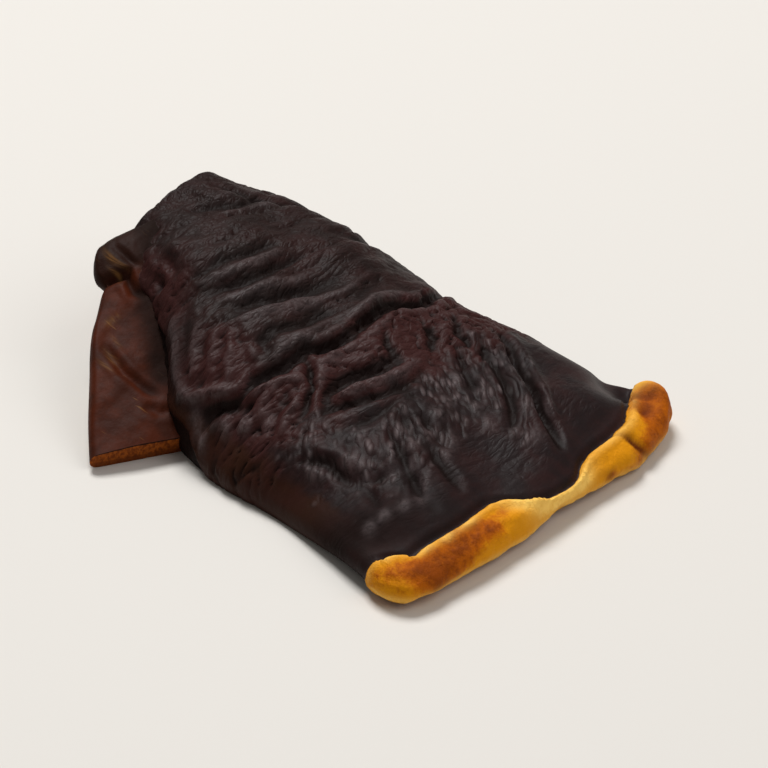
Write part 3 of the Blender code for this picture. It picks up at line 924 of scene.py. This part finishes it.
class Wire:
    """A shader socket that takes Python's own operators, each adding a Math node."""

    __add__ = operator("ADD")
    __radd__ = operator("ADD", turned=True)
    __sub__ = operator("SUBTRACT")
    __rsub__ = operator("SUBTRACT", turned=True)
    __mul__ = operator("MULTIPLY")
    __rmul__ = operator("MULTIPLY", turned=True)

    def __init__(self, sheet: NodeSheet, socket: bpy.types.NodeSocket) -> None:
        """Keeps the socket and the sheet that its nodes go on."""
        self.sheet = sheet
        self.socket = socket

    def math(self, operation: str, *values: Wire | float) -> Wire:
        """One Math node on the given values."""
        return self.sheet.node("ShaderNodeMath", {"operation": operation}, dict(enumerate(values)))

    def between(self, low: float, high: float) -> Wire:
        """An S-curve that is 0 below low and 1 above high."""
        inputs = {"Value": self, "From Min": low, "From Max": high}
        return self.sheet.node("ShaderNodeMapRange", {"interpolation_type": "SMOOTHSTEP"}, inputs)


class NodeSheet:
    """A material's nodes, and the few ways in which the finishes add to them."""

    def __init__(self, name: str) -> None:
        """Makes the material with its one shader.

        Args:
            name: The material's name.
        """
        self.material = bpy.data.materials.new(name)
        self.material.use_nodes = True
        self.tree = self.material.node_tree
        self.shader = self.tree.nodes["Principled BSDF"]

    def node(
        self, kind: str, settings: dict[str, object], inputs: dict[str | int, object], output: str | int = 0
    ) -> Wire:
        """Adds one node.

        Args:
            kind: The node's type.
            settings: Its properties, which are set before its sockets.
            inputs: A value or a wire for each named or numbered socket.
            output: The output to give back.

        Returns:
            The output as a wire.
        """
        made = self.tree.nodes.new(kind)
        for key, value in settings.items():
            setattr(made, key, value)
        for key, value in inputs.items():
            self.plug(made.inputs[key], value)
        return Wire(self, made.outputs[output])

    def plug(self, socket: bpy.types.NodeSocket, value: object) -> None:
        """Links a wire to the socket, or sets the socket's own value.

        Args:
            socket: The socket to feed.
            value: A wire or a plain value.
        """
        if isinstance(value, Wire):
            self.tree.links.new(value.socket, socket)
        else:
            socket.default_value = value

    def mix(self, share: Wire | float, low: Wire | Colour, high: Wire | Colour) -> Wire:
        """A colour between two, as far as the share says."""
        return self.node("ShaderNodeMix", {"data_type": "RGBA"}, {0: share, 6: low, 7: high}, 2)

    def blend(self, share: Wire | float, low: Wire | float, high: Wire | float) -> Wire:
        """A number between two, as far as the share says."""
        return self.node("ShaderNodeMix", {"data_type": "FLOAT"}, {0: share, 2: low, 3: high})

    def scaled(self, vector: Wire, by: tuple[float, float, float]) -> Wire:
        """The vector with each part multiplied."""
        return self.node("ShaderNodeVectorMath", {"operation": "MULTIPLY"}, {0: vector, 1: by})

    def turned(self, vector: Wire, angle: float) -> Wire:
        """The vector turned about Z by an angle in radians."""
        return self.node("ShaderNodeMapping", {}, {"Vector": vector, "Rotation": (0.0, 0.0, angle)})

    def grain(self, vector: Wire, scale: float, detail: float, rough: float, twist: float = 0.0) -> Wire:
        """Soft noise, from 0 to 1, at the given number of cells to a unit."""
        inputs = {"Vector": vector, "Scale": scale, "Detail": detail, "Roughness": rough, "Distortion": twist}
        return self.node("ShaderNodeTexNoise", {}, inputs)

    def wrinkles(self, vector: Wire) -> Wire:
        """Round ridges from 0 to 1 with thin valleys where soft noise crosses its middle."""
        crossing = self.grain(vector, 1.0, 1.0, 0.45, 0.15) - 0.5
        return crossing.math("ABSOLUTE", crossing).between(-0.06, 0.2) * 1.3 - 0.3

    def cells(self, vector: Wire, scale: float) -> Wire:
        """Distances to scattered points."""
        return self.node("ShaderNodeTexVoronoi", {}, {"Vector": vector, "Scale": scale}, "Distance")


class Places:
    """What the finishes read from the mesh: places in millimetres and the shares of its zones."""

    def __init__(self, sheet: NodeSheet) -> None:
        """Adds the nodes that read them.

        Args:
            sheet: The material's nodes.
        """
        solid = sheet.node("ShaderNodeTexCoord", {}, {}, "Object")
        flat = sheet.node("ShaderNodeUVMap", {"uv_map": "flat"}, {})
        self.solid = sheet.scaled(solid, (1 / MM, 1 / MM, 1 / MM))
        self.flat = sheet.scaled(flat, (CAP_LENGTH, CAP_LENGTH, 1.0))
        self.zones: dict[Zone, Wire] = {}
        for layer in sorted({zone.value[0] for zone in Zone}):
            read = sheet.node("ShaderNodeAttribute", {"attribute_name": layer}, {}, "Color")
            parts = sheet.node("ShaderNodeSeparateColor", {}, {"Color": read})
            outputs = [*parts.socket.node.outputs, read.socket.node.outputs["Alpha"]]
            for zone in Zone:
                if zone.value[0] == layer:
                    self.zones[zone] = Wire(sheet, outputs[zone.value[1]])

    def __getitem__(self, zone: Zone) -> Wire:
        """The share of one zone."""
        return self.zones[zone]


@dataclass
class Layer:
    """What one finish gives: colour, roughness and fine height in millimetres."""

    colour: Wire
    roughness: Wire | float
    height: Wire

    def under(self, other: Layer, share: Wire) -> Layer:
        """This layer with another laid over it.

        Args:
            other: The layer on top.
            share: How far it covers this one.

        Returns:
            The two as one layer.
        """
        sheet = share.sheet
        return Layer(
            sheet.mix(share, self.colour, other.colour),
            sheet.blend(share, self.roughness, other.roughness),
            sheet.blend(share, self.height, other.height),
        )


@dataclass(frozen=True)
class CrustFinish:
    """The cap's hard dark skin: grey-brown, maroon and grey-black zones with a dull satin sheen."""

    # The colour of painted shade in the hollows, the crumples' valleys and the shaded patches
    painted_shade_colour: Colour = tint(16, 6, 4)
    back: Colour = tint(29, 18, 16)
    middle: Colour = tint(50, 24, 22)
    front: Colour = tint(28, 19, 19)
    wall: Colour = tint(44, 21, 10)
    # Pale grey of dust and painted sheen on the ridges, and of painted glints on the dashes
    bloom: Colour = tint(96, 84, 84)
    streak_degrees: float = -43.0

    def dress(self, sheet: NodeSheet, places: Places) -> Layer:
        """Mixes the zones' colours with clouds of maroon, lays pale dust and painted sheen on the ridges
        and painted glints on the dashes, and paints shade over the shaded patches, the crumples' valleys
        and the hollows. The fine height is stretched leather grain, and where the crust is streaked,
        turned crumples and dashes from cell distances.

        Args:
            sheet: The material's nodes.
            places: What is read from the mesh.

        Returns:
            The crust's layer.
        """
        cloud = sheet.grain(places.solid, 0.18, 4.0, 0.6)
        speck = sheet.grain(places.solid, 1.6, 4.0, 0.65)
        fine = sheet.grain(places.solid, 4.5, 3.0, 0.6)
        bloom, shade, streaked = places[Zone.BLOOM], places[Zone.SHADE], places[Zone.STREAKS]
        colour = sheet.mix(places[Zone.MIDDLE], self.back, self.middle)
        colour = sheet.mix(places[Zone.FRONT], colour, self.front)
        colour = sheet.mix(places[Zone.WALL], colour, self.wall)
        colour = sheet.mix(cloud.between(0.35, 0.7) * 0.45, colour, self.middle)
        # Painted shade over the shaded patches
        colour = sheet.mix(shade * 0.75, colour, self.painted_shade_colour)
        # Pale dust with painted sheen on the ridges
        colour = sheet.mix(bloom * (0.25 + 0.5 * speck.between(0.3, 0.65)), colour, self.bloom)
        turned = sheet.turned(places.flat, math.radians(self.streak_degrees))
        crumples = sheet.wrinkles(sheet.scaled(turned, (0.6, 0.26, 1.0)))
        dashes = 1.0 - sheet.cells(sheet.scaled(turned, (0.95, 0.4, 1.0)), 1.0).between(0.12, 0.55)
        dashes = dashes * sheet.grain(sheet.scaled(turned, (0.5, 0.3, 1.0)), 1.0, 1.0, 0.5).between(0.3, 0.62)
        # Painted glints on the dashes, then painted shade in the crumples' valleys
        colour = sheet.mix(dashes * streaked * 0.7, colour, self.bloom)
        colour = sheet.mix((1.0 - crumples.between(0.0, 0.4)) * streaked * 0.4, colour, self.painted_shade_colour)
        # Painted shade where the small relief is low: the hollows and the band past the left border
        low = 1.0 - places[Zone.HEIGHT].between(0.2, 0.5)
        colour = sheet.mix(low * 0.9, colour, self.painted_shade_colour)
        rough = 0.42 + 0.16 * speck + 0.1 * low - 0.05 * places[Zone.SMOOTH] - 0.1 * bloom
        rough = rough + 0.4 * shade * (1.0 - bloom)
        leather = 0.13 * sheet.wrinkles(sheet.scaled(places.flat, (0.17, 0.46, 1.0)))
        leather = leather + 0.06 * sheet.wrinkles(sheet.scaled(places.flat, (0.6, 1.2, 1.0)))
        worn = 1.0 - 0.6 * places[Zone.WALL] - 0.4 * places[Zone.FRONT]
        height = sheet.blend(streaked, leather * worn, 0.12 * crumples + 0.26 * dashes)
        height = height * (1.0 - 0.8 * places[Zone.SMOOTH]) + 0.04 * speck + 0.016 * fine
        return Layer(colour, rough, height)


@dataclass(frozen=True)
class LipFinish:
    """The growing lip: golden and mottled with burnt orange, paler along its edges with its own cream and
    painted highlights.
    """

    gold: Colour = tint(216, 140, 5)
    burnt: Colour = tint(172, 86, 0)
    rust: Colour = tint(120, 52, 0)
    # Pale cream of the lip, which also paints its highlights and the floor's light beneath it
    pale: Colour = tint(255, 206, 104)
    brown: Colour = tint(90, 34, 3)

    def dress(self, sheet: NodeSheet, places: Places) -> Layer:
        """Mixes gold, burnt orange and rust by the burnt patches and mottling noise, with pale cream
        and painted highlights along the edges, painted floor light beneath the front, and brown stains.

        Args:
            sheet: The material's nodes.
            places: What is read from the mesh.

        Returns:
            The lip's layer.
        """
        cloud = sheet.grain(places.solid, 0.4, 4.0, 0.6)
        speck = sheet.grain(places.solid, 1.1, 5.0, 0.7)
        fine = sheet.grain(places.solid, 4.0, 4.0, 0.65)
        burnt = places[Zone.BURNT]
        mottle = 1.3 * (cloud - 0.5) + 1.1 * (speck - 0.5)
        colour = sheet.mix((burnt + 0.7 * mottle).between(0.1, 0.75), self.gold, self.burnt)
        colour = sheet.mix((0.7 * burnt + mottle).between(0.4, 0.9) * 0.8, colour, self.rust)
        # Pale cream with painted highlights along the rim and painted floor light beneath the front
        colour = sheet.mix(places[Zone.BLOOM] * (0.7 + 0.3 * speck.between(0.3, 0.6)), colour, self.pale)
        colour = sheet.mix(places[Zone.STAIN], colour, self.brown)
        return Layer(colour, 0.45 + 0.25 * fine, 0.30 * speck + 0.08 * fine)


@dataclass(frozen=True)
class LobeFinish:
    """The side lobe's skin: red-brown and half glossy, with ochre scratches."""

    skin: Colour = tint(66, 22, 2)
    dark: Colour = tint(27, 11, 5)
    ochre: Colour = tint(122, 84, 44)
    # The colour of painted shade in the hollows and towards the cap
    painted_shade_colour: Colour = tint(20, 9, 5)
    scratch_angle: float = 0.9

    def dress(self, sheet: NodeSheet, places: Places) -> Layer:
        """Clouds of dark red-brown, a dark knuckle, painted shade in the hollows and towards the cap,
        and thin scratches where stretched noise is high.

        Args:
            sheet: The material's nodes.
            places: What is read from the mesh.

        Returns:
            The lobe's layer.
        """
        cloud = sheet.grain(places.solid, 0.25, 4.0, 0.6)
        speck = sheet.grain(places.solid, 1.8, 4.0, 0.6)
        turned = sheet.turned(places.flat, self.scratch_angle)
        scratch = sheet.grain(sheet.scaled(turned, (0.18, 2.6, 1.0)), 1.0, 2.0, 0.5)
        scored = scratch.between(0.68, 0.76) * 0.4
        scored = scored + places[Zone.BLOOM] * (0.2 + 0.6 * scratch.between(0.4, 0.6))
        low = 1.0 - places[Zone.HEIGHT].between(0.05, 0.5)
        colour = sheet.mix(cloud.between(0.35, 0.65) * 0.5, self.skin, self.dark)
        colour = sheet.mix(places[Zone.WALL] * 0.85, colour, self.dark)
        colour = sheet.mix(scored, colour, self.ochre)
        # Painted shade where the relief is low: the hollows and the side towards the cap
        colour = sheet.mix(low * 0.85, colour, self.painted_shade_colour)
        return Layer(colour, 0.5 + 0.18 * speck + 0.2 * low, 0.06 * speck)


@dataclass(frozen=True)
class PoreFinish:
    """The underside: cream to tan, pricked with very fine pores."""

    cream: Colour = tint(214, 186, 132)
    tan: Colour = tint(150, 104, 58)
    brown: Colour = tint(84, 48, 26)

    def dress(self, sheet: NodeSheet, places: Places) -> Layer:
        """Clouds of cream and tan with a brown border, and pores from cell distances.

        Args:
            sheet: The material's nodes.
            places: What is read from the mesh.

        Returns:
            The underside's layer.
        """
        cloud = sheet.grain(places.solid, 0.12, 5.0, 0.6)
        pores = sheet.cells(places.solid, 3.2)
        border = 1.0 - places[Zone.UNDERSIDE].between(0.5, 1.0)
        colour = sheet.mix(cloud.between(0.35, 0.65), self.cream, self.tan)
        colour = sheet.mix(border + (1.0 - pores.between(0.15, 0.45)) * 0.35, colour, self.brown)
        return Layer(colour, 0.85, pores * 0.12)


@dataclass(frozen=True)
class CutFinish:
    """A cut edge: corky orange-brown flesh in layers, dark under the skin and above the pores."""

    flesh: Colour = tint(148, 76, 24)
    deep: Colour = tint(98, 44, 12)
    skin: Colour = tint(34, 16, 10)

    def dress(self, sheet: NodeSheet, places: Places) -> Layer:
        """Bands through the thickness, broken up by fibres.

        Args:
            sheet: The material's nodes.
            places: What is read from the mesh.

        Returns:
            The cut's layer.
        """
        fibres = sheet.grain(sheet.scaled(places.solid, (2.2, 2.2, 0.5)), 1.0, 4.0, 0.65)
        depth = places[Zone.LEVEL] + 0.08 * (fibres - 0.5)
        colour = sheet.mix(fibres.between(0.35, 0.65), self.flesh, self.deep)
        colour = sheet.mix((1.0 - depth.between(0.32, 0.38)) * 0.6, colour, self.deep)
        colour = sheet.mix(depth.between(0.9, 0.95), colour, self.skin)
        return Layer(colour, 0.8, fibres * 0.15)


@dataclass(frozen=True)
class MushroomFinish:
    """All the finishes of the mushroom, laid over each other by the zones."""

    crust: CrustFinish = CrustFinish()
    lip: LipFinish = LipFinish()
    lobe: LobeFinish = LobeFinish()
    pores: PoreFinish = PoreFinish()
    cut: CutFinish = CutFinish()
    specular: float = 0.08

    def material(self, name: str) -> bpy.types.Material:
        """Makes the one material of the mushroom, with a ragged border between crust and lip.

        Args:
            name: The material's name.

        Returns:
            The material.
        """
        sheet = NodeSheet(name)
        places = Places(sheet)
        ragged = 0.2 * (sheet.grain(places.solid, 0.9, 2.0, 0.5) - 0.5)
        layer = self.crust.dress(sheet, places)
        for finish, share in (
            (self.lobe, places[Zone.LOBE]),
            (self.pores, places[Zone.UNDERSIDE]),
            (self.lip, (places[Zone.LIP] + ragged).between(0.42, 0.58)),
            (self.cut, places[Zone.CUT]),
        ):
            layer = layer.under(finish.dress(sheet, places), share)
        bump = sheet.node("ShaderNodeBump", {}, {"Strength": 1.0, "Distance": MM, "Height": layer.height})
        sheet.plug(sheet.shader.inputs["Base Color"], layer.colour)
        sheet.plug(sheet.shader.inputs["Roughness"], layer.roughness)
        sheet.plug(sheet.shader.inputs["Normal"], bump)
        sheet.plug(sheet.shader.inputs["Specular IOR Level"], self.specular)
        return sheet.material


@dataclass(frozen=True)
class Mushroom:
    """The whole dried mushroom, grown as one body."""

    cap: Cap = Cap()
    lobe: SideLobe = SideLobe()
    finish: MushroomFinish = MushroomFinish()
    sharp_degrees: float = 55.0

    def below_rest(self) -> bpy.types.Object:
        """A slab whose top is the surface that the mushroom rests on, with the lip's finish in front.

        Returns:
            The slab.
        """
        far = (-90.0, 90.0)
        corners = np.array([(x, y, z) for x in far for y in far for z in (-90.0, 0.0)]) + ORIGIN
        sides = (0, 1, 3, 2), (4, 6, 7, 5), (0, 4, 5, 1), (2, 3, 7, 6), (0, 2, 6, 4), (1, 5, 7, 3)
        values = {Zone.LIP: 0.5 - 0.06 * corners[:, 1]}
        return Form(corners, np.array(sides), np.zeros((8, 2)), values).make("below_rest")

    def build(self) -> bpy.types.Object:
        """Joins the cap and the lobe, cuts the rest flat, and dresses the result.

        Returns:
            The mushroom as one mesh piece.
        """
        piece = self.cap.form().make("dried_mushroom")
        helpers = {"UNION": self.lobe.form().make("lobe_form"), "DIFFERENCE": self.below_rest()}
        for operation, form in helpers.items():
            step = piece.modifiers.new(form.name, "BOOLEAN")
            step.operation = operation
            step.object = form
        graph = bpy.context.evaluated_depsgraph_get()
        whole = bpy.data.meshes.new_from_object(piece.evaluated_get(graph))
        piece.modifiers.clear()
        piece.data = whole
        for form in helpers.values():
            bpy.data.objects.remove(form)
        whole.materials.clear()
        whole.materials.append(self.finish.material("dried_mushroom_skin"))
        whole.shade_smooth()
        whole.set_sharp_from_angle(angle=math.radians(self.sharp_degrees))
        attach(piece, "root")
        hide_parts("mushroom")
        return piece


def towards(azimuth: float, elevation: float) -> Vector:
    """The unit vector from the object to a place round it, in degrees. Azimuth 0 is the front."""
    a, e = math.radians(azimuth), math.radians(elevation)
    return Vector((math.sin(a) * math.cos(e), -math.cos(a) * math.cos(e), math.sin(e)))


@dataclass(frozen=True)
class Softbox:
    """A square soft light that faces the object: its place round it in degrees, its distance and
    side in metres, and its power in watts."""

    name: str
    azimuth: float
    elevation: float
    away: float
    side: float
    power: float

    def hang(self) -> None:
        """Puts the light in its place."""
        light = bpy.data.lights.new(self.name, "AREA")
        light.energy = self.power
        light.size = self.side
        lamp = bpy.data.objects.new(self.name, light)
        outward = towards(self.azimuth, self.elevation)
        lamp.location = outward * self.away
        lamp.rotation_euler = (-outward).to_track_quat("-Z", "Y").to_euler()
        bpy.context.scene.collection.objects.link(lamp)


@dataclass(frozen=True)
class Studio:
    """A pale floor, soft lights and the camera at the photograph's viewing angle."""

    azimuth: float = -50.0
    elevation: float = 29.5
    distance: float = 0.75
    lens: float = 250.0
    aim: tuple[float, float, float] = (6.5, -3.0, 5.2)
    softboxes: tuple[Softbox, ...] = (
        Softbox("sky_softbox", 150.0, 62.0, 1.4, 0.6, 20.5),
        Softbox("front_softbox", 12.0, 48.0, 1.5, 1.1, 7.0),
    )
    floor_radius: float = 3.0
    floor_colour: Colour = tint(208, 204, 198)
    room_colour: Colour = (1.0, 0.98, 0.95, 1.0)
    room_light: float = 0.24

    def lay_floor(self) -> None:
        """A wide round floor, as a ring of points round the middle."""
        turn = np.linspace(0.0, 2.0 * math.pi, 97)[:-1]
        rim = self.floor_radius * np.stack([np.cos(turn), np.sin(turn), np.zeros_like(turn)], axis=-1)
        mesh = bpy.data.meshes.new("floor")
        mesh.from_pydata(rim.tolist(), [], [list(range(len(turn)))])
        sheet = NodeSheet("pale_floor")
        sheet.plug(sheet.shader.inputs["Base Color"], self.floor_colour)
        sheet.plug(sheet.shader.inputs["Roughness"], 0.7)
        mesh.materials.append(sheet.material)
        floor = bpy.data.objects.new("floor", mesh)
        bpy.context.scene.collection.objects.link(floor)

    def set_camera(self) -> None:
        """The camera, aimed at the middle of the object's outline."""
        data = bpy.data.cameras.new("camera")
        data.lens = self.lens
        data.sensor_width = 36.0
        camera = bpy.data.objects.new("camera", data)
        outward = towards(self.azimuth, self.elevation)
        camera.location = Vector(self.aim) * MM + outward * self.distance
        camera.rotation_euler = (-outward).to_track_quat("-Z", "Y").to_euler()
        bpy.context.scene.collection.objects.link(camera)
        bpy.context.scene.camera = camera

    def build(self) -> None:
        """Sets up the whole studio, in a pale room."""
        self.lay_floor()
        for softbox in self.softboxes:
            softbox.hang()
        self.set_camera()
        world = bpy.data.worlds.new("pale_room")
        world.use_nodes = True
        background = world.node_tree.nodes["Background"]
        background.inputs["Color"].default_value = self.room_colour
        background.inputs["Strength"].default_value = self.room_light
        bpy.context.scene.world = world
        bpy.context.scene.view_settings.view_transform = "Standard"


def main() -> None:
    """Builds the studio and the mushroom."""
    logging.basicConfig(level=logging.INFO, format="%(message)s")
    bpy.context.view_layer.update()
    Studio().build()
    log.info("studio: floor, two softboxes and the camera")
    piece = Mushroom().build()
    log.info("%s: %d faces", piece.name, len(piece.data.polygons))


if __name__ == "__main__":
    main()
